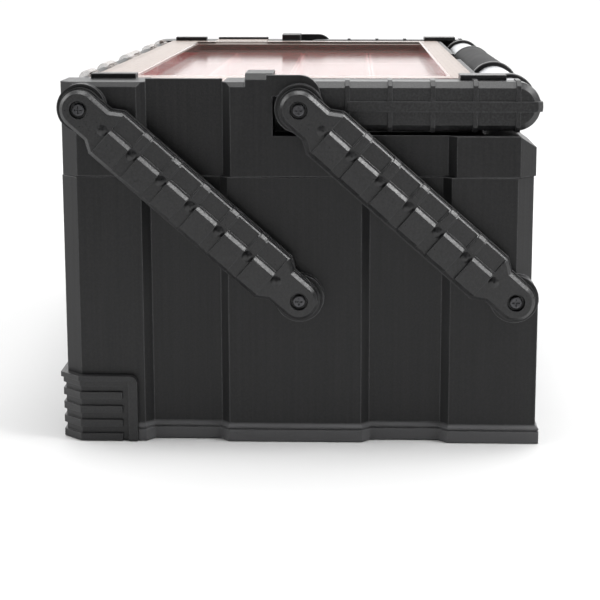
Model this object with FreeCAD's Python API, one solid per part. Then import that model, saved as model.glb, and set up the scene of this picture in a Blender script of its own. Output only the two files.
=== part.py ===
import FreeCAD, Part
import math
import os

V = FreeCAD.Vector

# Sizes in mm. +X runs along the box, -Y is the handle side, Z is up from the floor.

# overall
box_length = 524.0
base_depth = 311.0
base_shift = 1.8
base_top = 179.0
seam = 0.3
tray_height = 61.7
wall = 3.2
end_x = box_length / 2
far = 2 * box_length

# end walls: raised and sunk panels
panel_step = 5.7
panel_slope = 5.4
panel_rear_y = 75.6
panel_front_y = -70.1
base_rear_panel = 46.0
base_front_panel = 47.8
tray_rear_panel = 50.2
tray_front_panel = 54.2
corner_cut = 9.0
corner_run = 11.1
deep_x = end_x - panel_step
corner_x = end_x - corner_cut

# long faces: shallow bays
bay_in = 4.0
bay_x0 = 78.0
bay_margin = 64.0
bay_wall = 4.0
bay_x1 = end_x - bay_margin

# base
base_rear_y = base_depth / 2 + base_shift
base_front_y = base_rear_y - base_depth
base_floor_z = 2.0
base_floor = 3.5
foot_ring = 12.0
skirt_out = 3.5
skirt_below = 78.0
skirt_root = 14.0
skirt_y = base_front_y - skirt_out
skirt_top = base_top - skirt_below
flange_out = 2.2
groove_z = 8.0
groove_h = 1.2
groove_in = 0.8
flange_cap = 0.6
flange_slope = 2.2
flange_top = groove_z + groove_h + flange_cap

# guards
guard_reach = 48.6
guard_len = 49.0
guard_round = 5.3
guard_ridge = 3.0
guard_groove = 1.4
guard_rim = 4.5
guard_rim_h = 3.4
guard_band_h = 3.9
guard_border = 10.3
guard_frame = 3.8
guard_frame_w = 6.2
ridge_count = 4
ridge_pitch = 9.6
ridge_h = 4.8
ridge_drop = 0.7
guard_y = base_rear_y - guard_reach
guard_x = end_x - guard_len
guard_band_low = ridge_count * ridge_pitch - ridge_drop
rim_low = guard_band_low + guard_band_h
guard_top = rim_low + guard_rim_h

# pivots
pivot_in = 14.5
pivot_below = 79.5
pivot_drop = 16.6
boss_out = 5.0
boss_root = 1.1
core_len = 6.0
spigot_r = 3.8
spigot_len = 6.6
bore_fit = 0.06
open_fit = 0.3
washer_over = 1.6
washer_t = 1.0
washer_gap = 0.4
washer_proud = 0.2
screw_r = 2.0
screw_core_wall = 6.0
screw_head_r = 4.2
screw_head_h = 2.4
screw_head_round = 1.1
slot_deep = 1.3
slot_half = 0.5
slot_reach = 2.4
tray_z = base_top + seam
tower_top = tray_z + tray_height
pivot_y = base_depth / 2 - pivot_in
pivot_low_z = base_top - pivot_below
pivot_high_z = tower_top - pivot_drop
boss_x = end_x + boss_out
boss_root_x = deep_x - wall - boss_root
core_x = boss_root_x - core_len
core_r = screw_r + screw_core_wall
spigot_x = boss_x + spigot_len
screw_x = spigot_x + washer_t
screw_deep = core_x + 2.0
washer_r = spigot_r + washer_over
counterbore_r = washer_r + washer_gap

# swing arms
arm_gap = 0.3
arm_back = 3.0
arm_deep = 10.0
arm_row = 2.2
hub_wall = 7.9
boss_over = 2.3
arm_over = 4.9
arm_inset = 1.3
arm_chamfer = 2.2
strap_w = 5.4
strap_out = 0.6
arm_neck = 15.0
arm_shoulder = 7.5
panel_start = 24.0
panel_len = 17.0
panel_count = 6
panel_low = 5.2
panel_sink = 1.2
row_high = 4.0
row_slope = 2.2
row_margin = 1.0
row_bevel = 2.0
bump_r = 6.0
bump_sink = 4.8
bump_root = 0.5
bump_w = 0.3
core_end = 26.0
core_side = 4.2
core_skin = 3.6
hub_r = counterbore_r + hub_wall
boss_r = hub_r + boss_over
arm_half = hub_r + arm_over
arm_back_x = boss_x + arm_gap
arm_len = math.hypot(pivot_y, pivot_high_z - pivot_low_z)
panel_pitch = (arm_len - 2 * panel_start - panel_len) / (panel_count - 1)
bump_from = math.degrees(math.asin((bump_sink - bump_root) / bump_r))

# handle
tube_r = 15.2
tube_wall = 1.8
tube_gap = 1.6
tube_lift = 0.7
grip_t = 2.6
grip_half = 95.0
ring_t = 3.2
ring_w = 6.0
collar_t = 2.7
collar_w = 9.0
collar_in = 37.0
bar_wall = 0.8
bar_side_gap = 3.0
bar_w = 18.5
bar_bevel = 4.0
band_h = 6.6
band_out = 1.3
hoop_w = 3.0
hoop_out = 1.0
hoop_start = 31.0
hoop_past = 1.0
hoop_count = 5
socket_deep = 8.0
socket_gap = 0.2
hub_over = 0.6
shelf_clear = 0.5
hub_hole = 8.0
cheek_gap = 0.6
cheek_rise = 21.4
bridge_rise = 7.6
bridge_root = 4.0
handle_room = 26.0
swing_gap = 0.7
sleeve_head = 3.0
sleeve_head_t = 2.4
sleeve_seat = 6.0
wall_boss = 2.4
rest_back = 5.6
rest_len = 30.2
rest_gap = 0.7
rest_t = 3.2
rest_root = 4.0
ring_r = tube_r + ring_t
bar_r = tube_r + bar_wall
handle_hub_r = bar_r + hub_over
sleeve_head_r = hub_hole + sleeve_head

# tray
tray_rear_in = 0.5
tray_front_out = 1.3
front_shelf = 34.0
shelf_drop = 8.0
shelf_run = 11.7
over = 5.0
tower_bevel = 3.0
end_wall_rise = 2.0
rim_drop = 0.4
notch_half = 32.0
notch_drop = 6.1
floor_t = 3.0
end_margin = 43.0
ledge_side = 5.2
ledge_front = 4.8
rear_margin = 16.3
trough_wall = 3.3
hollow_keep = 5.0
hollow_lip = 16.0
hollow_drop = 6.0
lug_w = 17.9
lug_rise = 5.7
lug_bevel = 4.0
lug_in = 7.0
pad_w = 10.3
pad_len = 30.2
pad_in = 5.5
pad_root = 4.0
pad_rise = 3.5
tray_rear_y = base_rear_y - tray_rear_in
tray_front_y = base_front_y - tray_front_out
tray_rear_cut = tray_rear_y - corner_run
tray_front_cut = tray_front_y + corner_run
shelf_z = pivot_high_z + tube_lift - ring_r - shelf_clear
rim_top = tower_top - rim_drop
recess_x = end_x - handle_room
recess_y = bar_r + tube_lift + swing_gap
lip_y = tray_front_y + front_shelf
rebate_y0 = lip_y + wall
cavity_y0 = rebate_y0 + ledge_front
cavity_y1 = tray_rear_y - rear_margin
trough_y = cavity_y1 + trough_wall
cavity_x = end_x - end_margin
rebate_x = cavity_x + ledge_side
sleeve_head_x = recess_x - wall - sleeve_seat
pad_y1 = tray_rear_cut - pad_in
pad_y0 = pad_y1 - pad_len

# handle places
tube_y = lip_y - tube_gap - ring_r
tube_z = pivot_high_z + tube_lift
bar_x0 = recess_x + bar_side_gap
bar_x1 = bar_x0 + bar_w
cheek_x = bar_x1 + cheek_gap
tube_end_x = bar_x0 + socket_deep
collar_x = bar_x0 - collar_in
hoop_pitch = (-tube_y + hoop_past - hoop_start) / (hoop_count - 1)
rest_y0 = tube_y + rest_back
rest_low = rim_top + rest_gap

# lid
lid_t = 2.8
lid_seat = 0.2
lid_side = 0.8
lid_front = 0.6
lid_rear = 0.5
lid_web = 2.2
lid_sink = 8.3
lid_floor = 2.4
frame_rear = 27.0
frame_side = 16.0
barrel_r = 5.6
barrel_gap = 0.6
barrel_drop = 0.9
barrel_end_in = 26.4
barrel_end_w = 22.0
barrel_span = 47.0
barrel_mid_w = 32.0
barrel_long = 60.0
rod_r = 2.0
rod_reach = 16.6
knuckle_r = 3.0
knuckle_half = 3.0
knuckle_gap = 1.4
tongue_gap = 0.6
tongue_over = 1.0
ledge_z = tower_top - lid_t - lid_seat
lid_low = ledge_z + lid_seat
lid_top = lid_low + lid_t
lid_x = rebate_x - lid_side
lid_y0 = rebate_y0 + lid_front
lid_y1 = trough_y - lid_rear
pan_low = lid_top - lid_sink - lid_floor
hinge_y = trough_y + barrel_gap + barrel_r
hinge_z = ledge_z
trough_z = hinge_z - barrel_r - barrel_drop
rod_x = lid_x + rod_reach
barrel_end_x = lid_x - barrel_end_in - barrel_end_w
barrel_mid_x = barrel_end_x - barrel_span - barrel_mid_w

# bins
bin_cols = 4
bin_rows = 3
bin_gap = 0.5
bin_wall = 1.6
bin_corner = 5.0
bin_clear = 0.6
bin_top = pan_low - bin_clear
bin_z = tray_z + floor_t

# latches
latch_w = 56.0
latch_rise = 12.7
latch_len = 42.0
latch_t = 3.0
latch_gap = 0.4
latch_lift = 6.0
latch_knuckle_r = 2.6
latch_pin_r = 1.5
flap_gap = 0.5
tooth_below = 21.0
tooth_h = 3.0
tooth_gap = 0.3
tooth_side = 8.0
tooth_lead = 0.6
bead_slope = 52.0
bead_gap = 0.5
bead_flat = 1.5
bead_fade = 2.0
ear_w = 5.0
ear_half_h = 4.0
latch_x = (bay_x0 + bay_x1) / 2
latch_places = (-latch_x, latch_x)
latch_z = tray_z + latch_rise
latch_low = latch_z - latch_len
latch_half = latch_w / 2 + latch_gap
pin_half = latch_half + ear_w
flap_y = tray_front_y + bay_in - flap_gap
latch_y = flap_y - latch_t / 2
bead_y = base_front_y + bay_in
tooth_z = base_top - tooth_below
tooth_in = bead_y - tooth_gap - flap_y
bead_rise = tooth_in * math.tan(math.radians(bead_slope))


def box(x0, x1, y0, y1, z0, z1):
    return Part.makeBox(x1 - x0, y1 - y0, z1 - z0, V(x0, y0, z0))


def rod_along_x(x0, x1, y, z, r):
    return Part.makeCylinder(r, x1 - x0, V(x0, y, z), V(1, 0, 0))


def cone_along_x(x0, x1, y, z, r0, r1):
    return Part.makeCone(r0, r1, x1 - x0, V(x0, y, z), V(1, 0, 0))


def loop(points):
    return Part.makePolygon(points + points[:1])


def prism_z(points, z0, z1):
    face = Part.Face(loop([V(x, y, z0) for x, y in points]))
    return face.extrude(V(0, 0, z1 - z0))


def prism_x(points, x0, x1):
    face = Part.Face(loop([V(x0, y, z) for y, z in points]))
    return face.extrude(V(x1 - x0, 0, 0))


def prism_y(points, y0, y1):
    face = Part.Face(loop([V(x, y0, z) for x, z in points]))
    return face.extrude(V(0, y1 - y0, 0))


def grown(points, d):
    wire = loop([V(x, y, 0) for x, y in points]).makeOffset2D(d, 2)
    return [(v.Point.x, v.Point.y) for v in wire.OrderedVertexes]


def fade(points0, z0, points1, z1):
    low = loop([V(x, y, z0) for x, y in points0])
    high = loop([V(x, y, z1) for x, y in points1])
    return Part.makeLoft([low, high], True, True)


def other_end(shape):
    return shape.mirror(V(0, 0, 0), V(1, 0, 0))


def both_ends(shape):
    return [shape, other_end(shape)]


def joined(shapes):
    return shapes[0].multiFuse(shapes[1:]).removeSplitter()


def save(name, shape):
    shape.exportStep("parts/" + name + ".step")


def bays(y, inward):
    half = [(bay_x1 + bay_in, y), (bay_x1, y + inward), (bay_x0, y + inward), (bay_x0 - bay_in, y)]
    return half + [(-x, v) for x, v in reversed(half)]


def plan(end, rear, front):
    # end: (x, y) down the +X end from the rear corner to the front corner
    near = [(-x, y) for x, y in reversed(end)]
    return end + bays(front, bay_in) + near + list(reversed(bays(rear, -bay_in)))


def sunk_panel(mid, width):
    a = mid + width / 2
    b = mid - width / 2
    return [(end_x, a + panel_slope), (deep_x, a), (deep_x, b), (end_x, b - panel_slope)]


def end_line(rear_panel, front_panel, rear, front):
    panels = sunk_panel(panel_rear_y, rear_panel) + sunk_panel(panel_front_y, front_panel)
    rear_corner = [(corner_x, rear), (end_x, rear - corner_run)]
    front_corner = [(end_x, front + corner_run), (corner_x, front)]
    return rear_corner + panels + front_corner


def cross_screw(y, z):
    # head outwards along +X
    top = screw_x + screw_head_h
    head = rod_along_x(screw_x, top, y, z, screw_head_r)
    head = head.makeFillet(screw_head_round, [head.Edges[0]])
    shank = rod_along_x(screw_deep, screw_x, y, z, screw_r)
    slot_x = top - slot_deep
    bar_a = box(slot_x, far, y - slot_reach, y + slot_reach, z - slot_half, z + slot_half)
    bar_b = box(slot_x, far, y - slot_half, y + slot_half, z - slot_reach, z + slot_reach)
    return head.fuse(shank).removeSplitter().cut(bar_a.fuse(bar_b))


def pivot_washer(y, z):
    ring = rod_along_x(spigot_x, screw_x, y, z, washer_r)
    return ring.cut(rod_along_x(spigot_x - 1, far, y, z, screw_r))


def pivot_boss(y, z):
    boss = rod_along_x(boss_root_x, boss_x, y, z, boss_r)
    return boss.fuse(rod_along_x(boss_x - 1, spigot_x, y, z, spigot_r))


def screw_core(y, z):
    return rod_along_x(core_x, boss_root_x + 2, y, z, core_r)


def screw_hole(y, z):
    return rod_along_x(screw_deep, far, y, z, screw_r)


# base box
base_end = end_line(base_rear_panel, base_front_panel, base_rear_y, base_front_y)
base_plan = plan(base_end, base_rear_y, base_front_y)
foot_plan = plan(base_end[:-2] + [(end_x, skirt_y)], base_rear_y, skirt_y)


def skirt_plan(y):
    back = base_front_y + skirt_root
    return [(end_x, back), (end_x, y)] + bays(y, bay_in) + [(-end_x, y), (-end_x, back)]


def guard_zone():
    # all that lies behind the guard's outline on the end face and on the rear face
    y0 = guard_y
    x0 = guard_x
    top = guard_top
    r = guard_round
    end = box(0, far, y0, far, -1, top).cut(box(0, far, y0, y0 + r, top - r, top + 1))
    end = end.fuse(rod_along_x(0, far, y0 + r, top - r, r))
    rear = box(x0, far, 0, far, -1, top).cut(box(x0, x0 + r, 0, far, top - r, top + 1))
    rear = rear.fuse(Part.makeCylinder(r, far, V(x0 + r, 0, top - r), V(0, 1, 0)))
    return end.common(rear)


skirt = prism_z(skirt_plan(skirt_y), 0, skirt_top)
skirt_slope = fade(skirt_plan(skirt_y), skirt_top, skirt_plan(base_front_y), skirt_top + skirt_out)
flange = joined([
    prism_z(grown(foot_plan, flange_out), 0, groove_z),
    prism_z(grown(foot_plan, flange_out - groove_in), groove_z, groove_z + groove_h),
    prism_z(grown(foot_plan, flange_out), groove_z + groove_h, flange_top),
    fade(grown(foot_plan, flange_out), flange_top, foot_plan, flange_top + flange_slope),
])
for zone in both_ends(guard_zone()):
    flange = flange.cut(zone.cut(prism_z(base_plan, -2, base_top)))
bead_z = tooth_z + tooth_h + bead_gap
bead_tip = bead_y - tooth_in
bead_top = bead_z + bead_rise + bead_flat
bead_side = [(bead_y + 1, bead_z), (bead_y, bead_z), (bead_tip, bead_z + bead_rise)]
bead_side += [(bead_tip, bead_top), (bead_y + 1, bead_top + bead_fade)]
base_cavity = prism_z(grown(base_plan, -wall), base_floor_z + base_floor, base_top + 1)
base_under = prism_z(grown(base_plan, -foot_ring), -1, base_floor_z)
base_box = joined([prism_z(base_plan, 0, base_top), skirt, skirt_slope, flange])
base_box = base_box.cut(base_cavity).cut(base_under)
extra = []
holes = []
for y in (0.0, -pivot_y):
    extra += both_ends(pivot_boss(y, pivot_low_z)) + both_ends(screw_core(y, pivot_low_z))
    holes += both_ends(screw_hole(y, pivot_low_z))
for x in latch_places:
    extra.append(prism_x(bead_side, x - latch_w / 2 + tooth_side, x + latch_w / 2 - tooth_side))
base_box = joined([base_box] + extra).cut(Part.makeCompound(holes)).removeSplitter()

# corner guards
guard_layers = [(rim_low, guard_top, guard_rim), (guard_band_low, rim_low, guard_ridge)]
low = guard_band_low
for i in reversed(range(ridge_count)):
    ridge_low = i * ridge_pitch
    guard_layers.append((ridge_low + ridge_h, low, guard_groove))
    guard_layers.append((ridge_low, ridge_low + ridge_h, guard_ridge))
    low = ridge_low


def guard_strip(width):
    # upright strips along the guard's free edges, on the end face and on the rear face
    end = box(0, far, guard_y, guard_y + width, 0, guard_top)
    return end.fuse(box(guard_x, guard_x + width, 0, far, 0, guard_top))


guard = joined([prism_z(grown(base_plan, d), z0, z1) for z0, z1, d in guard_layers])
groove_body = prism_z(grown(base_plan, guard_groove), 0, base_top)
ridges = prism_z(grown(base_plan, guard_rim), 0, guard_band_low).cut(groove_body)
guard = guard.cut(ridges.common(guard_strip(guard_border)))
guard_side = prism_z(grown(base_plan, guard_frame), 0, rim_low).common(guard_strip(guard_frame_w))
guard = joined([guard, guard_side]).cut(prism_z(base_plan, -1, base_top)).common(guard_zone())

# tray
tray_end = end_line(tray_rear_panel, tray_front_panel, tray_rear_y, tray_front_y)
tray_plan = plan(tray_end, tray_rear_y, tray_front_y)
shelf_back = tray_front_y + shelf_run
shelf_edge = shelf_z - shelf_drop - over * shelf_drop / shelf_run
shelf_cut = [(tray_front_y - over, shelf_edge), (tray_front_y - over, shelf_z + over)]
shelf_cut += [(shelf_back, shelf_z + over), (shelf_back, shelf_z)]
low_block = prism_z(tray_plan, tray_z, shelf_z).cut(prism_x(shelf_cut, -far, far))
upper = prism_z(tray_plan, shelf_z, tower_top).common(box(-far, far, lip_y, far, 0, far))
bevel_low = tower_top - tower_bevel - 1
bevel = [(end_x - tower_bevel, tower_top), (end_x + 1, bevel_low), (end_x + 1, tower_top + 1)]
swing_room = box(recess_x, far, -far, recess_y, shelf_z, far)
for cut in both_ends(swing_room) + both_ends(prism_y(bevel, 0, far)):
    upper = upper.cut(cut)
upper = upper.cut(box(-far, far, lip_y - 1, recess_y, rim_top, far))
end_wall_y = (panel_rear_y - tray_rear_panel / 2, panel_rear_y + tray_rear_panel / 2)
end_wall = box(deep_x - wall, deep_x, end_wall_y[0], end_wall_y[1], shelf_z, tower_top + end_wall_rise)
lug_top = tower_top + lug_rise
lug_edge = [(end_x - lug_bevel, lug_top), (end_x + 1, lug_top - lug_bevel - 1), (end_x + 1, lug_top + 1)]
lug = box(recess_x - lug_in, end_x, recess_y, recess_y + lug_w, shelf_z, lug_top)
lug = lug.cut(prism_y(lug_edge, 0, far))
pad = box(rebate_x, rebate_x + pad_w, pad_y0, pad_y1, tower_top - pad_root, tower_top + pad_rise)
cheek = rod_along_x(cheek_x, boss_x, 0, pivot_high_z, boss_r)
bridge_low = pivot_high_z + bridge_rise
nose = rod_along_x(cheek_x, end_x, 0, bridge_low, cheek_rise - bridge_rise)
bridge = box(cheek_x, end_x, 0, recess_y + bridge_root, bridge_low, pivot_high_z + cheek_rise)
pieces = [low_block, upper]
for shape in (end_wall, lug, pad, cheek, nose, bridge, pivot_boss(pivot_y, pivot_high_z)):
    pieces += both_ends(shape)
tray = joined(pieces)
under = tray_z - 1
hollow_x = cavity_x + wall
hollow_y = recess_y + wall
high_hollow = ledge_z - wall
low_hollow = shelf_z - wall
inside = prism_z(grown(tray_plan, -wall), under, high_hollow)
front_hollow_y = tray_front_y + bay_in + bay_wall
rear_hollow_y = tray_rear_y - bay_in - bay_wall
cuts = [
    box(-cavity_x, cavity_x, cavity_y0, cavity_y1, bin_z, far),
    box(-rebate_x, rebate_x, rebate_y0, trough_y + 1, ledge_z, far),
    box(-rebate_x, rebate_x, trough_y, far, trough_z, far),
    box(-notch_half, notch_half, lip_y - 1, rebate_y0 + 1, rim_top - notch_drop, far),
    box(-cavity_x, cavity_x, front_hollow_y, cavity_y0 - wall, under, low_hollow - hollow_drop),
    box(-cavity_x, cavity_x, cavity_y1 + wall, rear_hollow_y, under, trough_z - wall),
]
end_cuts = [
    box(rebate_x - 1, deep_x - wall, end_wall_y[0] - tongue_over, end_wall_y[1] + tongue_over, ledge_z, far),
    inside.common(box(hollow_x, far, hollow_y, tray_rear_cut - hollow_keep, 0, far)),
    inside.common(box(hollow_x, far, tray_front_cut + hollow_keep, hollow_y, 0, low_hollow)),
    box(hollow_x, recess_x - wall, lip_y + hollow_lip, hollow_y, under, high_hollow),
]
for shape in end_cuts:
    cuts += both_ends(shape)
for x in latch_places:
    cuts.append(rod_along_x(x - latch_half, x + latch_half, latch_y, latch_z, latch_knuckle_r + latch_gap))
tray = tray.cut(Part.makeCompound(cuts))

half_barrels = [(barrel_mid_x, barrel_mid_x + barrel_mid_w), (barrel_end_x, barrel_end_x + barrel_end_w)]
barrels = [(-b, -a) for a, b in reversed(half_barrels)] + [(-barrel_long / 2, barrel_long / 2)] + half_barrels
more = both_ends(screw_core(pivot_y, pivot_high_z))
more += both_ends(rod_along_x(sleeve_head_x, recess_x, 0, pivot_high_z, sleeve_head_r + wall_boss))
for left, right in zip(barrels, barrels[1:]):
    x0 = left[1] + knuckle_gap
    x1 = right[0] - knuckle_gap
    more.append(rod_along_x(x0, x1, hinge_y, hinge_z, knuckle_r))
    more.append(box(x0, x1, hinge_y - knuckle_half, hinge_y + knuckle_half, trough_z - 1, hinge_z))
ear = box(0, ear_w, tray_front_y, tray_front_y + bay_in + 1, latch_z - ear_half_h, latch_z + ear_half_h)
for x in latch_places:
    more.append(ear.translated(V(x - pin_half, 0, 0)))
    more.append(ear.translated(V(x + latch_half, 0, 0)))
holes = [rod_along_x(-rod_x, rod_x, hinge_y, hinge_z, rod_r)]
end_holes = [
    screw_hole(pivot_y, pivot_high_z),
    rod_along_x(sleeve_head_x - 3, recess_x + 1, 0, pivot_high_z, hub_hole),
    rod_along_x(sleeve_head_x - 3, sleeve_head_x + sleeve_head_t, 0, pivot_high_z, sleeve_head_r),
    rod_along_x(cheek_x - 1, boss_x + 1, 0, pivot_high_z, spigot_r),
]
for shape in end_holes:
    holes += both_ends(shape)
latch_pins = [rod_along_x(x - pin_half, x + pin_half, latch_y, latch_z, latch_pin_r) for x in latch_places]
tray = joined([tray] + more).cut(Part.makeCompound(holes + latch_pins)).removeSplitter()

# handle pivot sleeves
sleeve = joined([
    rod_along_x(sleeve_head_x, sleeve_head_x + sleeve_head_t, 0, pivot_high_z, sleeve_head_r),
    rod_along_x(sleeve_head_x, cheek_x, 0, pivot_high_z, hub_hole),
    rod_along_x(cheek_x - 1, spigot_x, 0, pivot_high_z, spigot_r),
])
sleeve = sleeve.cut(screw_hole(0, pivot_high_z))

# pivot screws and washers
low_screws = []
low_washers = []
for y in (0.0, -pivot_y):
    low_screws += both_ends(cross_screw(y, pivot_low_z))
    low_washers += both_ends(pivot_washer(y, pivot_low_z))
high_screws = []
high_washers = []
for y in (0.0, pivot_y):
    high_screws += both_ends(cross_screw(y, pivot_high_z))
    high_washers += both_ends(pivot_washer(y, pivot_high_z))


# swing arms
def arm_outline(inset):
    half = arm_half - inset
    neck = hub_r - inset
    s0 = arm_neck + inset * 0.4
    s1 = s0 + arm_shoulder
    side = [(0, neck), (s0, neck), (s1, half), (arm_len - s1, half), (arm_len - s0, neck), (arm_len, neck)]
    return side + [(s, -w) for s, w in reversed(side)]


def arm_slab(inset, t0, t1):
    face = Part.Face(loop([V(s, w, t0) for s, w in arm_outline(inset)]))
    slab = face.extrude(V(0, 0, t1 - t0))
    ends = [Part.makeCylinder(hub_r - inset, t1 - t0, V(s, 0, t0)) for s in (0, arm_len)]
    return joined([slab] + ends)


def cross_piece(points, s0, length):
    # points: (w, t) across the arm and out of its face
    return Part.Face(loop([V(s0, w, t) for w, t in points])).extrude(V(length, 0, 0))


def arm_row_block(s0):
    top = arm_deep + arm_row
    low = -arm_half + arm_inset + row_margin
    points = [(low, arm_deep - 1), (row_high, arm_deep - 1), (row_high, arm_deep)]
    points += [(row_high - row_slope, top), (low + row_bevel, top), (low, arm_deep)]
    return cross_piece(points, s0, panel_len)


def arm_strap(mid):
    top = arm_deep + strap_out
    edge = arm_half - arm_inset + strap_out
    low = arm_back - 0.5
    points = [(panel_low, arm_deep - 1), (panel_low, top), (edge - arm_chamfer, top)]
    points += [(edge, top - arm_chamfer), (edge, low), (edge - 3, low)]
    return cross_piece(points, mid - strap_w / 2, strap_w)


def at_height(edge, z):
    return abs(edge.BoundBox.ZMin - z) < 1e-6 and abs(edge.BoundBox.ZMax - z) < 1e-6


def flat_arm(low_fit, high_fit):
    # lies along s from the lower pivot, with its thickness along +Z
    body = joined([arm_slab(0, 0, arm_back), arm_slab(arm_inset, arm_back - 0.5, arm_deep)])
    body = body.makeChamfer(arm_chamfer, [e for e in body.Edges if at_height(e, arm_deep)])
    adds = []
    cuts = []
    for i in range(panel_count):
        s0 = panel_start + i * panel_pitch
        adds.append(arm_row_block(s0))
        cuts.append(Part.makeBox(panel_len, arm_half, far, V(s0, panel_low, arm_deep - panel_sink)))
    for i in range(panel_count + 1):
        mid = panel_start + i * panel_pitch - (panel_pitch - panel_len) / 2
        bump_at = V(mid, bump_w, arm_deep - bump_sink)
        adds.append(Part.makeSphere(bump_r, bump_at, V(0, 0, 1), bump_from, 90, 360))
        if 0 < i < panel_count:
            adds.append(arm_strap(mid))
    core_half = arm_half - core_side
    core_deep = arm_deep - core_skin
    cuts.append(Part.makeBox(arm_len - 2 * core_end, 2 * core_half, core_deep, V(core_end, -core_half, -1)))
    for s, fit in ((0, low_fit), (arm_len, high_fit)):
        cuts.append(Part.makeCylinder(spigot_r + fit, far, V(s, 0, -1)))
        cuts.append(Part.makeCylinder(counterbore_r, far, V(s, 0, spigot_x - arm_back_x - washer_proud)))
    return joined([body] + adds).cut(Part.makeCompound(cuts)).removeSplitter()


def placed_arm(low_y, low_fit, high_fit):
    arm = flat_arm(low_fit, high_fit)
    rise = math.degrees(math.atan2(pivot_high_z - pivot_low_z, pivot_y))
    turn = FreeCAD.Placement(V(0, 0, 0), FreeCAD.Rotation(V(0, 1, 0), V(0, 0, 1), V(1, 0, 0), "ZXY"))
    lean = FreeCAD.Placement(V(0, 0, 0), FreeCAD.Rotation(V(1, 0, 0), rise))
    put = FreeCAD.Placement(V(arm_back_x, low_y, pivot_low_z), FreeCAD.Rotation())
    arm.Placement = put.multiply(lean).multiply(turn)
    return arm


front_arm = placed_arm(-pivot_y, bore_fit, bore_fit)
rear_arm = placed_arm(0.0, bore_fit, open_fit)

# handle
bar_low = tube_z - bar_r


def bar_section(out):
    b = bar_bevel - 0.4 * out
    points = [(bar_x0, bar_low - out), (bar_x1 + out - b, bar_low - out), (bar_x1 + out, bar_low - out + b)]
    return points + [(x, 2 * tube_z - z) for x, z in reversed(points)]


def bar_end(out):
    b = bar_bevel - 0.4 * out
    r = bar_r + out
    x1 = bar_x1 + out
    tip = cone_along_x(x1 - b, x1, tube_y, tube_z, r, r - b)
    return joined([rod_along_x(bar_x0, x1 - b, tube_y, tube_z, r), tip])


handle_pieces = [prism_y(bar_section(0), tube_y, 0), bar_end(0)]
handle_pieces.append(rod_along_x(bar_x0, bar_x1, 0, pivot_high_z, handle_hub_r))
for i in range(hoop_count):
    y = -hoop_start - i * hoop_pitch
    handle_pieces.append(prism_y(bar_section(hoop_out), y - hoop_w / 2, y + hoop_w / 2))
band_zone = box(bar_x0, far, -far, -hoop_start, tube_z - band_h / 2, tube_z + band_h / 2)
band = joined([prism_y(bar_section(band_out), tube_y, 0), bar_end(band_out)]).common(band_zone)
rest_x = rebate_x + lid_side
rest = box(rest_x, bar_x0 + rest_root, rest_y0, rest_y0 + rest_len, rest_low, rest_low + rest_t)
rest = rest.cut(rod_along_x(rest_x - 1, bar_x0, tube_y, tube_z, tube_r + socket_gap))
socket = rod_along_x(bar_x0 - 1, tube_end_x + socket_gap, tube_y, tube_z, tube_r)
hub_bore = rod_along_x(bar_x0 - 1, far, 0, pivot_high_z, hub_hole + bore_fit)
handle_bar = joined(handle_pieces + [band, rest]).cut(socket).cut(hub_bore)
tube_core = rod_along_x(-tube_end_x, tube_end_x, tube_y, tube_z, tube_r - tube_wall)
tube = rod_along_x(-tube_end_x, tube_end_x, tube_y, tube_z, tube_r).cut(tube_core)


def sleeve_on_tube(x0, x1, t, soft):
    r = tube_r + t
    ring = rod_along_x(x0, x1, tube_y, tube_z, r)
    round_edges = [e for e in ring.Edges if abs(e.Length - 2 * math.pi * r) < 1e-3]
    return ring.makeFillet(soft * t, round_edges).cut(rod_along_x(x0 - 1, x1 + 1, tube_y, tube_z, tube_r))


grip = sleeve_on_tube(-grip_half, grip_half, grip_t, 0.33)
grip_ring = sleeve_on_tube(grip_half, grip_half + ring_w, ring_t, 0.42)
collar = sleeve_on_tube(collar_x, collar_x + collar_w, collar_t, 0.45)


# lid
def window_block(inset, z0, z1):
    x = lid_x - frame_side - inset
    return box(-x, x, lid_y0 + frame_side + inset, lid_y1 - frame_rear - inset, z0, z1)


plate = box(-lid_x, lid_x, lid_y0, lid_y1, lid_low, lid_top)
pan = window_block(0, pan_low, lid_top)
dish = window_block(lid_web, lid_top - lid_sink, lid_top + 1)
tongue_x = deep_x - wall - tongue_gap
tongue_y0 = end_wall_y[0] - tongue_over + tongue_gap
tongue_y1 = end_wall_y[1] + tongue_over - tongue_gap
lid_pieces = [plate, pan] + both_ends(box(lid_x - 1, tongue_x, tongue_y0, tongue_y1, lid_low, lid_top))
for x0, x1 in barrels:
    lid_pieces.append(rod_along_x(x0, x1, hinge_y, hinge_z, barrel_r))
    lid_pieces.append(box(x0, x1, lid_y1 - 4, hinge_y, lid_low, lid_top))
lid = joined(lid_pieces).cut(dish)
lid = lid.cut(rod_along_x(-lid_x, lid_x, hinge_y, hinge_z, rod_r + bore_fit)).removeSplitter()
hinge_rod = rod_along_x(-rod_x, rod_x, hinge_y, hinge_z, rod_r)

# bins
pitch_x = 2 * cavity_x / bin_rows
pitch_y = (cavity_y1 - cavity_y0) / bin_cols


def upright(edge):
    return edge.BoundBox.ZLength > edge.BoundBox.XLength + edge.BoundBox.YLength


def round_box(x0, x1, y0, y1, z0, z1, r):
    body = box(x0, x1, y0, y1, z0, z1)
    return body.makeFillet(r, [e for e in body.Edges if upright(e)])


def bin_at(row, col):
    x0 = -cavity_x + row * pitch_x + bin_gap
    x1 = x0 + pitch_x - 2 * bin_gap
    y0 = cavity_y0 + col * pitch_y + bin_gap
    y1 = y0 + pitch_y - 2 * bin_gap
    w = bin_wall
    room = round_box(x0 + w, x1 - w, y0 + w, y1 - w, bin_z + w, bin_top + 1, bin_corner - w)
    return round_box(x0, x1, y0, y1, bin_z, bin_top, bin_corner).cut(room)


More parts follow.
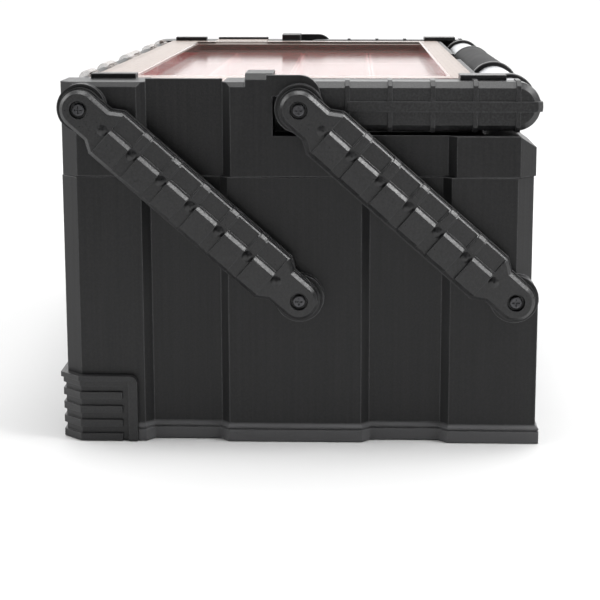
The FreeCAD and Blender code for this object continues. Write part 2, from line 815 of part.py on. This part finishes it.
# latches
def latch_at(x):
    x0 = x - latch_w / 2
    x1 = x + latch_w / 2
    out_y = flap_y - latch_t
    tip_y = flap_y + tooth_in
    top = tooth_z + tooth_h
    tooth = [(flap_y - 1, tooth_z), (flap_y, tooth_z), (tip_y, tooth_z + tooth_lead)]
    tooth += [(tip_y, top - bead_rise), (flap_y, top), (flap_y - 1, top)]
    body = joined([
        box(x0, x1, out_y, flap_y, latch_low, latch_z),
        rod_along_x(x0, x1, latch_y, latch_z, latch_knuckle_r),
        prism_x(tooth, x0 + tooth_side, x1 - tooth_side),
    ])
    lift = [(out_y - 1, latch_low + latch_lift), (out_y + 1.2, latch_low - 1), (out_y - 1, latch_low - 1)]
    pin_room = rod_along_x(x0 - 1, x1 + 1, latch_y, latch_z, latch_pin_r + bore_fit)
    return body.cut(prism_x(lift, x0, x1)).cut(pin_room)


os.makedirs("parts", exist_ok=True)
save("base_box", base_box)
save("guard_right", guard)
save("guard_left", other_end(guard))
save("base_pivot_screws", Part.makeCompound(low_screws))
save("base_pivot_washers", Part.makeCompound(low_washers))
save("front_arm_right", front_arm)
save("front_arm_left", other_end(front_arm))
save("rear_arm_right", rear_arm)
save("rear_arm_left", other_end(rear_arm))
save("tray", tray)
save("tray_pivot_screws", Part.makeCompound(high_screws))
save("tray_pivot_washers", Part.makeCompound(high_washers))
save("handle_sleeve_right", sleeve)
save("handle_sleeve_left", other_end(sleeve))
save("lid", lid)
save("lid_hinge_rod", hinge_rod)
save("handle_bar_right", handle_bar)
save("handle_bar_left", other_end(handle_bar))
save("handle_tube", tube)
save("handle_grip", grip)
save("grip_ring_right", grip_ring)
save("grip_ring_left", other_end(grip_ring))
save("collar_right", collar)
save("collar_left", other_end(collar))
for row in range(bin_rows):
    for col in range(bin_cols):
        save("bin_" + str(row + 1) + str(col + 1), bin_at(row, col))
save("latch_right", latch_at(latch_x))
save("latch_left", latch_at(-latch_x))
save("latch_pins", Part.makeCompound(latch_pins))
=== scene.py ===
import math
import bpy
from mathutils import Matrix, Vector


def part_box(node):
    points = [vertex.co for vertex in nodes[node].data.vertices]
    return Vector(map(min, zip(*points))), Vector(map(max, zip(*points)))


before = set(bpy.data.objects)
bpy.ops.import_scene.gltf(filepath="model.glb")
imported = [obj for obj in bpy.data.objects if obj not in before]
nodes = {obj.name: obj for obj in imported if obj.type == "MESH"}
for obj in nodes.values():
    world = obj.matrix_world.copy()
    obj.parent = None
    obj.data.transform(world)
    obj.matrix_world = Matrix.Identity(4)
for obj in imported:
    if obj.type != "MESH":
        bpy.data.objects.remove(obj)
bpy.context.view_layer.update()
print("frame loaded:", len(nodes), "nodes")


# helpers for the materials, whose looks give sizes in mm

mixColours, colourA, colourB, colourOut = {"data_type": "RGBA"}, 6, 7, 2  # a Mix node and its colour sockets
mixNumbers, numberA, numberB, numberOut = {"data_type": "FLOAT"}, 2, 3, 0  # the same for plain numbers


def metres(size):
    return size / 1000


def perMetre(size):
    # how often a pattern of that size repeats in a metre
    return 1000 / size


def linear(hexCode):
    # sRGB hex to the linear values that shaders read
    parts = [int(hexCode[i:i + 2], 16) / 255 for i in (0, 2, 4)]
    return [p / 12.92 if p <= 0.04045 else ((p + 0.055) / 1.055) ** 2.4 for p in parts] + [1.0]


def addNode(tree, kind, settings=None, links=None):
    # links: socket -> a value, or (node, output)
    node = tree.nodes.new(kind)
    for key, value in (settings or {}).items():
        setattr(node, key, value)
    for socket, value in (links or {}).items():
        if isinstance(value, tuple) and isinstance(value[0], bpy.types.Node):
            tree.links.new(value[0].outputs[value[1]], node.inputs[socket])
        else:
            node.inputs[socket].default_value = value
    return node


def startMaterial(name):
    material = bpy.data.materials.new(name)
    material.use_nodes = True
    tree = material.node_tree
    tree.nodes.clear()
    shader = addNode(tree, "ShaderNodeBsdfPrincipled")
    addNode(tree, "ShaderNodeOutputMaterial", links={"Surface": (shader, "BSDF")})
    coords = addNode(tree, "ShaderNodeTexCoord")
    return material, tree, shader, coords


def drive(tree, shader, sources):
    # sources: shader socket -> (node, output)
    for socket, (node, output) in sources.items():
        tree.links.new(node.outputs[output], shader.inputs[socket])


def pair(name):
    return [name + "_right", name + "_left"]


def dress(material, names):
    for name in names:
        mesh = nodes[name].data
        mesh.materials.clear()
        mesh.materials.append(material)


# moulded polypropylene and nylon: satin black with a spark-eroded grain, and edges painted paler, partly as
# scuffed wear and partly as a painted highlight
# streak is how much the draw lines show, and the foot number how far a band along the foot is painted paler,
# a painted highlight where the flange catches the light
bodyLook = {"colour": "040405", "pale": "212122", "edge": "8c8c8e", "rough": 0.45, "grain": 1.3,
            "grainDeep": 0.11, "edgeRound": 1.1, "streak": 0.16, "footPaintedLight": 0.3, "shine": 0.4}
guardLook = {"colour": "151516", "pale": "333334", "edge": "565658", "rough": 0.42, "grain": 1.2,
             "grainDeep": 0.08, "edgeRound": 0.6, "streak": 0.0, "footPaintedLight": 0.0, "shine": 0.45}
armLook = {"colour": "010102", "pale": "2b2b2c", "edge": "454547", "rough": 0.33, "grain": 1.5,
           "grainDeep": 0.18, "edgeRound": 0.8, "streak": 0.0, "footPaintedLight": 0.0, "shine": 0.5}
handleLook = {"colour": "020203", "pale": "363637", "edge": "5a5a5c", "rough": 0.38, "grain": 1.6,
              "grainDeep": 0.2, "edgeRound": 0.8, "streak": 0.0, "footPaintedLight": 0.0, "shine": 0.42}
nylonLook = {"colour": "131314", "pale": "1a1a1b", "edge": "363637", "rough": 0.4, "grain": 0.9,
             "grainDeep": 0.03, "edgeRound": 0.3, "streak": 0.0, "footPaintedLight": 0.0, "shine": 0.45}
# the marks on all of them: flow, grain and draw lines from moulding, scuffs from use, and the sizes of the
# painted edge highlight and of the painted light on the foot band; the ranges are parts of a noise, or of a
# cosine for edgeTurn
mouldMarks = {"flow": 85, "scuff": 7, "drawLine": 2.2, "drawStretch": 0.02, "footTall": 11.2, "footFade": 1.0,
              "edgeTurn": (0.995, 0.8), "speckRange": (0.4, 0.66), "lineRange": (0.35, 0.65),
              "grainRange": (0.3, 0.7), "smoother": 0.07, "rougher": 0.09, "flowShare": 0.5,
              "speckShare": 0.6, "bump": 0.6, "ior": 1.49}


def mouldedPolypropylene(name, look):
    material, tree, shader, coords = startMaterial(name)
    at = (coords, "Object")
    marks = mouldMarks
    # a real grain is about 0.3 mm, drawn coarser so that it shows
    grain = addNode(tree, "ShaderNodeTexNoise", links={
        "Vector": at, "Scale": perMetre(look["grain"]), "Detail": 3.0, "Roughness": 0.65})
    flow = addNode(tree, "ShaderNodeTexNoise", links={
        "Vector": at, "Scale": perMetre(marks["flow"]), "Detail": 2.0})
    scuff = addNode(tree, "ShaderNodeTexNoise", links={
        "Vector": at, "Scale": perMetre(marks["scuff"]), "Detail": 4.0, "Roughness": 0.7})
    # rounded mould edges: a small radius in the normals, and where it turns the edge is painted paler, partly
    # as scuffed wear and partly as a painted highlight, on hollow edges as on outer ones
    rounding = addNode(tree, "ShaderNodeBevel", {"samples": 4}, {"Radius": metres(look["edgeRound"])})
    geometry = addNode(tree, "ShaderNodeNewGeometry")
    turn = addNode(tree, "ShaderNodeVectorMath", {"operation": "DOT_PRODUCT"}, {
        0: (rounding, "Normal"), 1: (geometry, "Normal")})
    edge = addNode(tree, "ShaderNodeMapRange", links={
        "Value": (turn, "Value"), "From Min": marks["edgeTurn"][0], "From Max": marks["edgeTurn"][1]})
    wear = addNode(tree, "ShaderNodeMath", {"operation": "MULTIPLY"}, {
        0: (edge, "Result"), 1: (scuff, "Fac")})
    # a band along the foot is painted paler, as a painted highlight where the flange catches the light
    axes = addNode(tree, "ShaderNodeSeparateXYZ", links={"Vector": at})
    foot = addNode(tree, "ShaderNodeMapRange", links={
        "Value": (axes, "Z"), "From Min": metres(marks["footTall"] + marks["footFade"]),
        "From Max": metres(marks["footTall"]), "To Min": 0.0, "To Max": look["footPaintedLight"]})
    wearAndPaintedLight = addNode(tree, "ShaderNodeMath", {"operation": "MAXIMUM"}, {
        0: (wear, "Value"), 1: (foot, "Result")})
    # the mould drew off upwards and left faint lines on the walls
    draw = addNode(tree, "ShaderNodeMapping", links={
        "Vector": at, "Scale": (1.0, 1.0, marks["drawStretch"])})
    lines = addNode(tree, "ShaderNodeTexNoise", links={
        "Vector": (draw, "Vector"), "Scale": perMetre(marks["drawLine"]), "Detail": 4.0, "Roughness": 0.6})
    drag = addNode(tree, "ShaderNodeMapRange", links={
        "Value": (lines, "Fac"), "From Min": marks["lineRange"][0], "From Max": marks["lineRange"][1],
        "To Min": -look["streak"], "To Max": look["streak"]})
    # colour: the dark skin, its paler specks, and then the edges and the foot band painted paler, as scuffed
    # wear and painted highlight
    speck = addNode(tree, "ShaderNodeMapRange", links={
        "Value": (grain, "Fac"), "From Min": marks["speckRange"][0], "From Max": marks["speckRange"][1]})
    tone = addNode(tree, "ShaderNodeMath", {"operation": "MULTIPLY_ADD"}, {
        0: (flow, "Fac"), 1: marks["flowShare"], 2: (drag, "Result")})
    mottle = addNode(tree, "ShaderNodeMath", {"operation": "MULTIPLY_ADD"}, {
        0: (speck, "Result"), 1: marks["speckShare"], 2: (tone, "Value")})
    shade = addNode(tree, "ShaderNodeMix", mixColours, {
        0: (mottle, "Value"), colourA: linear(look["colour"]), colourB: linear(look["pale"])})
    colour = addNode(tree, "ShaderNodeMix", mixColours, {
        0: (wearAndPaintedLight, "Value"), colourA: (shade, colourOut), colourB: linear(look["edge"])})
    rough = addNode(tree, "ShaderNodeMapRange", links={
        "Value": (grain, "Fac"), "From Min": marks["grainRange"][0], "From Max": marks["grainRange"][1],
        "To Min": look["rough"] - marks["smoother"], "To Max": look["rough"] + marks["rougher"]})
    height = addNode(tree, "ShaderNodeMath", {"operation": "MULTIPLY_ADD"}, {
        0: (lines, "Fac"), 1: look["streak"], 2: (grain, "Fac")})
    bump = addNode(tree, "ShaderNodeBump", links={
        "Height": (height, "Value"), "Strength": marks["bump"], "Distance": metres(look["grainDeep"]),
        "Normal": (rounding, "Normal")})
    drive(tree, shader, {"Base Color": (colour, colourOut), "Roughness": (rough, "Result"),
                         "Normal": (bump, "Normal")})
    shader.inputs["IOR"].default_value = marks["ior"]
    shader.inputs["Specular IOR Level"].default_value = look["shine"]
    return material


# clear polycarbonate: a polished window in a frame that the mould left frosted with fine dots
# frost, barrel, clearest and fullest are how far the frame, barrels and window cover what is behind them
lidLook = {"window": "85706b", "frame": "9c8d84", "dot": "7b6d65", "windowRough": 0.1, "frameRough": 0.36,
           "dotPitch": 3.4, "dotSpread": 0.35, "dotRange": (0.22, 0.42), "dotDeep": 0.1, "dotBump": 0.3,
           "frost": 0.38, "barrel": 0.3, "clearest": 0.06, "fullest": 0.9, "slantPower": 8.0, "ior": 1.585}
# the window's edges and the start of the barrels, in from the sides of the lid's own box
lidPlan = {"ends": 45.1, "front": 16.0, "rear": 39.3, "barrels": 12.0}


def clearPolycarbonate(name, look):
    material, tree, shader, coords = startMaterial(name)
    at = (coords, "Object")
    # to a tenth of a mm, so that the window's own walls lie on its edges
    lidLow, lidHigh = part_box("lid")
    windowEnd = round(lidHigh[0] - metres(lidPlan["ends"]), 4)
    windowFront = round(lidLow[1] + metres(lidPlan["front"]), 4)
    windowRear = round(lidHigh[1] - metres(lidPlan["rear"]), 4)
    barrelStart = round(lidHigh[1] - metres(lidPlan["barrels"]), 4)
    axes = addNode(tree, "ShaderNodeSeparateXYZ", links={"Vector": at})
    acrossX = addNode(tree, "ShaderNodeMath", {"operation": "ABSOLUTE"}, {0: (axes, "X")})
    insideX = addNode(tree, "ShaderNodeMath", {"operation": "LESS_THAN"}, {
        0: (acrossX, "Value"), 1: windowEnd})
    insideY = addNode(tree, "ShaderNodeMath", {"operation": "COMPARE"}, {
        0: (axes, "Y"), 1: (windowFront + windowRear) / 2, 2: (windowRear - windowFront) / 2})
    window = addNode(tree, "ShaderNodeMath", {"operation": "MULTIPLY"}, {
        0: (insideX, "Value"), 1: (insideY, "Value")})
    barrel = addNode(tree, "ShaderNodeMath", {"operation": "GREATER_THAN"}, {
        0: (axes, "Y"), 1: barrelStart})
    # the frosted dots
    dots = addNode(tree, "ShaderNodeTexVoronoi", links={
        "Vector": at, "Scale": perMetre(look["dotPitch"]), "Randomness": look["dotSpread"]})
    dot = addNode(tree, "ShaderNodeMapRange", links={
        "Value": (dots, "Distance"), "From Min": look["dotRange"][0], "From Max": look["dotRange"][1]})
    frosted = addNode(tree, "ShaderNodeMix", mixColours, {
        0: (dot, "Result"), colourA: linear(look["dot"]), colourB: linear(look["frame"])})
    colour = addNode(tree, "ShaderNodeMix", mixColours, {
        0: (window, "Value"), colourA: (frosted, colourOut), colourB: linear(look["window"])})
    rough = addNode(tree, "ShaderNodeMapRange", links={
        "Value": (window, "Value"), "To Min": look["frameRough"], "To Max": look["windowRough"]})
    # a clear sheet shows what is under it from above and mirrors the room at a low angle
    gloss = addNode(tree, "ShaderNodeLayerWeight", links={"Blend": 0.5})
    slant = addNode(tree, "ShaderNodeMath", {"operation": "POWER"}, {
        0: (gloss, "Facing"), 1: look["slantPower"]})
    sheet = addNode(tree, "ShaderNodeMapRange", links={
        "Value": (slant, "Value"), "To Min": look["clearest"], "To Max": look["fullest"]})
    frost = addNode(tree, "ShaderNodeMapRange", links={
        "Value": (slant, "Value"), "To Min": look["frost"], "To Max": look["fullest"]})
    rim = addNode(tree, "ShaderNodeMix", mixNumbers, {
        0: (barrel, "Value"), numberA: (frost, "Result"), numberB: look["barrel"]})
    cover = addNode(tree, "ShaderNodeMix", mixNumbers, {
        0: (window, "Value"), numberA: (rim, numberOut), numberB: (sheet, "Result")})
    # dots stand proud of the frame alone
    frameOnly = addNode(tree, "ShaderNodeMath", {"operation": "SUBTRACT"}, {0: 1.0, 1: (window, "Value")})
    height = addNode(tree, "ShaderNodeMath", {"operation": "MULTIPLY"}, {
        0: (frameOnly, "Value"), 1: (dot, "Result")})
    bump = addNode(tree, "ShaderNodeBump", links={
        "Height": (height, "Value"), "Strength": look["dotBump"], "Distance": metres(look["dotDeep"])})
    drive(tree, shader, {"Base Color": (colour, colourOut), "Roughness": (rough, "Result"),
                         "Alpha": (cover, numberOut), "Normal": (bump, "Normal")})
    shader.inputs["IOR"].default_value = look["ior"]
    return material


# dyed polypropylene of the lift-out bins: red, half gloss, with a faint flow in its colour
binLook = {"colour": "b3141c", "pale": "c4262d", "rough": 0.32, "smoother": 0.05, "rougher": 0.08, "flow": 45,
           "skin": 2.4, "skinDeep": 0.05, "bump": 0.12, "edgeRound": 0.6, "ior": 1.49}


def dyedPolypropylene(name, look):
    material, tree, shader, coords = startMaterial(name)
    at = (coords, "Object")
    flow = addNode(tree, "ShaderNodeTexNoise", links={
        "Vector": at, "Scale": perMetre(look["flow"]), "Detail": 2.0})
    skin = addNode(tree, "ShaderNodeTexNoise", links={
        "Vector": at, "Scale": perMetre(look["skin"]), "Detail": 2.0})
    rounding = addNode(tree, "ShaderNodeBevel", {"samples": 4}, {"Radius": metres(look["edgeRound"])})
    colour = addNode(tree, "ShaderNodeMix", mixColours, {
        0: (flow, "Fac"), colourA: linear(look["colour"]), colourB: linear(look["pale"])})
    rough = addNode(tree, "ShaderNodeMapRange", links={
        "Value": (flow, "Fac"), "To Min": look["rough"] - look["smoother"],
        "To Max": look["rough"] + look["rougher"]})
    bump = addNode(tree, "ShaderNodeBump", links={
        "Height": (skin, "Fac"), "Strength": look["bump"], "Distance": metres(look["skinDeep"]),
        "Normal": (rounding, "Normal")})
    drive(tree, shader, {"Base Color": (colour, colourOut), "Roughness": (rough, "Result"),
                         "Normal": (bump, "Normal")})
    shader.inputs["IOR"].default_value = look["ior"]
    return material


# drawn aluminium tube: die lines run along it, satin and pale
tubeLook = {"colour": "c6c7c9", "dark": "a4a5a8", "rough": 0.34, "smoother": 0.08, "rougher": 0.1,
            "line": 0.9, "lineStretch": 0.01, "lineDeep": 0.03, "bump": 0.1}


def drawnAluminium(name, look):
    material, tree, shader, coords = startMaterial(name)
    # long in X, so that the lines follow the draw
    stretch = addNode(tree, "ShaderNodeMapping", links={
        "Vector": (coords, "Object"), "Scale": (look["lineStretch"], 1.0, 1.0)})
    lines = addNode(tree, "ShaderNodeTexNoise", links={
        "Vector": (stretch, "Vector"), "Scale": perMetre(look["line"]), "Detail": 3.0})
    colour = addNode(tree, "ShaderNodeMix", mixColours, {
        0: (lines, "Fac"), colourA: linear(look["dark"]), colourB: linear(look["colour"])})
    rough = addNode(tree, "ShaderNodeMapRange", links={
        "Value": (lines, "Fac"), "To Min": look["rough"] - look["smoother"],
        "To Max": look["rough"] + look["rougher"]})
    bump = addNode(tree, "ShaderNodeBump", links={
        "Height": (lines, "Fac"), "Strength": look["bump"], "Distance": metres(look["lineDeep"])})
    drive(tree, shader, {"Base Color": (colour, colourOut), "Roughness": (rough, "Result"),
                         "Normal": (bump, "Normal")})
    shader.inputs["Metallic"].default_value = 1.0
    return material


# moulded rubber: the grip is dull with a fine even pebble, its rings and the collars are smoother
gripLook = {"colour": "101011", "worn": "1b1b1c", "rough": 0.72, "pebble": 1.6, "pebbleDeep": 0.09,
            "shine": 0.25}
ringLook = {"colour": "0f0f10", "worn": "19191a", "rough": 0.38, "pebble": 1.1, "pebbleDeep": 0.02,
            "shine": 0.5}
rubberMarks = {"wear": 18, "roughGive": 0.08, "bump": 0.4, "ior": 1.52}


def mouldedRubber(name, look):
    material, tree, shader, coords = startMaterial(name)
    at = (coords, "Object")
    marks = rubberMarks
    pebble = addNode(tree, "ShaderNodeTexVoronoi", links={"Vector": at, "Scale": perMetre(look["pebble"])})
    wear = addNode(tree, "ShaderNodeTexNoise", links={
        "Vector": at, "Scale": perMetre(marks["wear"]), "Detail": 3.0})
    colour = addNode(tree, "ShaderNodeMix", mixColours, {
        0: (wear, "Fac"), colourA: linear(look["colour"]), colourB: linear(look["worn"])})
    rough = addNode(tree, "ShaderNodeMapRange", links={
        "Value": (wear, "Fac"), "To Min": look["rough"] - marks["roughGive"],
        "To Max": look["rough"] + marks["roughGive"]})
    bump = addNode(tree, "ShaderNodeBump", {"invert": True}, {
        "Height": (pebble, "Distance"), "Strength": marks["bump"], "Distance": metres(look["pebbleDeep"])})
    drive(tree, shader, {"Base Color": (colour, colourOut), "Roughness": (rough, "Result"),
                         "Normal": (bump, "Normal")})
    shader.inputs["IOR"].default_value = marks["ior"]
    shader.inputs["Specular IOR Level"].default_value = look["shine"]
    return material


# black-oxide steel of the screws, pins and hinge rod: dark grey with a patchy, dull metal shine
steelLook = {"colour": "38383a", "bright": "5e5e60", "rough": 0.36, "smoother": 0.08, "rougher": 0.1,
             "turned": 0.7, "turnedDeep": 0.03, "bump": 0.15, "patch": 5, "edgeRound": 0.3}


def blackOxideSteel(name, look):
    material, tree, shader, coords = startMaterial(name)
    at = (coords, "Object")
    turned = addNode(tree, "ShaderNodeTexNoise", links={
        "Vector": at, "Scale": perMetre(look["turned"]), "Detail": 2.0})
    patch = addNode(tree, "ShaderNodeTexNoise", links={
        "Vector": at, "Scale": perMetre(look["patch"]), "Detail": 3.0})
    rounding = addNode(tree, "ShaderNodeBevel", {"samples": 4}, {"Radius": metres(look["edgeRound"])})
    colour = addNode(tree, "ShaderNodeMix", mixColours, {
        0: (patch, "Fac"), colourA: linear(look["colour"]), colourB: linear(look["bright"])})
    rough = addNode(tree, "ShaderNodeMapRange", links={
        "Value": (turned, "Fac"), "To Min": look["rough"] - look["smoother"],
        "To Max": look["rough"] + look["rougher"]})
    bump = addNode(tree, "ShaderNodeBump", links={
        "Height": (turned, "Fac"), "Strength": look["bump"], "Distance": metres(look["turnedDeep"]),
        "Normal": (rounding, "Normal")})
    drive(tree, shader, {"Base Color": (colour, colourOut), "Roughness": (rough, "Result"),
                         "Normal": (bump, "Normal")})
    shader.inputs["Metallic"].default_value = 1.0
    return material


# every piece of the toolbox gets its material
dress(mouldedPolypropylene("satin black polypropylene", bodyLook), ["base_box", "tray"])
dress(mouldedPolypropylene("black polypropylene of the guards", guardLook), pair("guard"))
dress(mouldedPolypropylene("black polypropylene of the arms", armLook),
      pair("front_arm") + pair("rear_arm") + pair("latch"))
dress(mouldedPolypropylene("black polypropylene of the handle", handleLook), pair("handle_bar"))
dress(mouldedPolypropylene("black nylon", nylonLook),
      pair("handle_sleeve") + ["base_pivot_washers", "tray_pivot_washers"])
dress(clearPolycarbonate("clear polycarbonate", lidLook), ["lid"])
dress(dyedPolypropylene("red polypropylene", binLook), [n for n in nodes if n.startswith("bin_")])
dress(drawnAluminium("drawn aluminium", tubeLook), ["handle_tube"])
dress(mouldedRubber("moulded rubber", gripLook), ["handle_grip"])
dress(mouldedRubber("smooth moulded rubber", ringLook), pair("grip_ring") + pair("collar"))
dress(blackOxideSteel("black oxide steel", steelLook),
      ["base_pivot_screws", "tray_pivot_screws", "latch_pins", "lid_hinge_rod"])
print("nodes dressed")


# a pale floor, a little darker near the box so that it throws less light on the walls; sizes in metres
floorLook = {"size": 40.0, "drop": 0.0005, "near": "d6d6d6", "far": "fbfbfb", "reach": (0.8, 4.0),
             "rough": 0.8}
bpy.ops.object.select_all(action="DESELECT")
bpy.ops.mesh.primitive_plane_add(size=floorLook["size"], location=(0, 0, -floorLook["drop"]))
floor = bpy.context.object
floor.name = "floor"
floorPaint, tree, shader, coords = startMaterial("pale studio floor")
away = addNode(tree, "ShaderNodeVectorMath", {"operation": "LENGTH"}, {0: (coords, "Object")})
fade = addNode(tree, "ShaderNodeMapRange", links={
    "Value": (away, "Value"), "From Min": floorLook["reach"][0], "From Max": floorLook["reach"][1]})
paint = addNode(tree, "ShaderNodeMix", mixColours, {
    0: (fade, "Result"), colourA: linear(floorLook["near"]), colourB: linear(floorLook["far"])})
drive(tree, shader, {"Base Color": (paint, colourOut)})
shader.inputs["Roughness"].default_value = floorLook["rough"]
floor.data.materials.append(floorPaint)
print("floor laid")


# the room is bright past the far end and dim at the near end, so that dark faces stay dark
studio = {"dim": 0.06, "bright": 1.95, "turn": 0.35, "aimHeight": 0.12, "lights": [
    {"name": "top", "at": (-0.35, -0.1, 2.6), "size": (1.4, 1.4), "watts": 32},
    {"name": "right softbox", "at": (-0.55, -1.45, 1.5), "size": (0.9, 0.7), "watts": 26},
    {"name": "left fill", "at": (-0.35, 1.9, 1.3), "size": (1.6, 1.4), "watts": 18},
]}
world = bpy.data.worlds.new("studio")
bpy.context.scene.world = world
world.use_nodes = True
tree = world.node_tree
sky = addNode(tree, "ShaderNodeTexCoord")
way = addNode(tree, "ShaderNodeSeparateXYZ", links={"Vector": (sky, "Generated")})
level = addNode(tree, "ShaderNodeMapRange", links={
    "Value": (way, "X"), "From Min": -studio["turn"], "From Max": studio["turn"],
    "To Min": studio["dim"], "To Max": studio["bright"]})
# past the floor's edge the room itself shows pale
ray = addNode(tree, "ShaderNodeLightPath")
seen = addNode(tree, "ShaderNodeMath", {"operation": "MAXIMUM"}, {
    0: (level, "Result"), 1: (ray, "Is Camera Ray")})
background = tree.nodes["Background"]
background.inputs["Color"].default_value = linear("ffffff")
tree.links.new(seen.outputs["Value"], background.inputs["Strength"])
for light in studio["lights"]:
    bpy.ops.object.light_add(type="AREA", location=light["at"])
    lamp = bpy.context.object
    lamp.name = light["name"]
    lamp.data.shape = "ELLIPSE"
    lamp.data.size, lamp.data.size_y = light["size"]
    lamp.data.energy = light["watts"]
    aim = -lamp.location
    aim.z += studio["aimHeight"]
    lamp.rotation_euler = aim.to_track_quat("-Z", "Y").to_euler()
bpy.context.scene.view_settings.view_transform = "Standard"
print("studio set")


# camera: at the near end of the box, a little above its lid; angles in degrees, lens and sensor in mm
eye = {"at": (-1.1636, -0.0340, 0.3177), "pitch": 9.332, "yaw": 1.393, "lens": 83.93, "sensor": 36,
       "shift": (-0.03, -0.18), "clip": (0.01, 100)}
bpy.ops.object.camera_add(location=eye["at"])
camera = bpy.context.object
camera.rotation_euler = (math.radians(90 - eye["pitch"]), 0, math.radians(eye["yaw"] - 90))
camera.data.lens = eye["lens"]
camera.data.sensor_width = eye["sensor"]
camera.data.shift_x, camera.data.shift_y = eye["shift"]
camera.data.clip_start, camera.data.clip_end = eye["clip"]
bpy.context.scene.camera = camera
print("camera set")
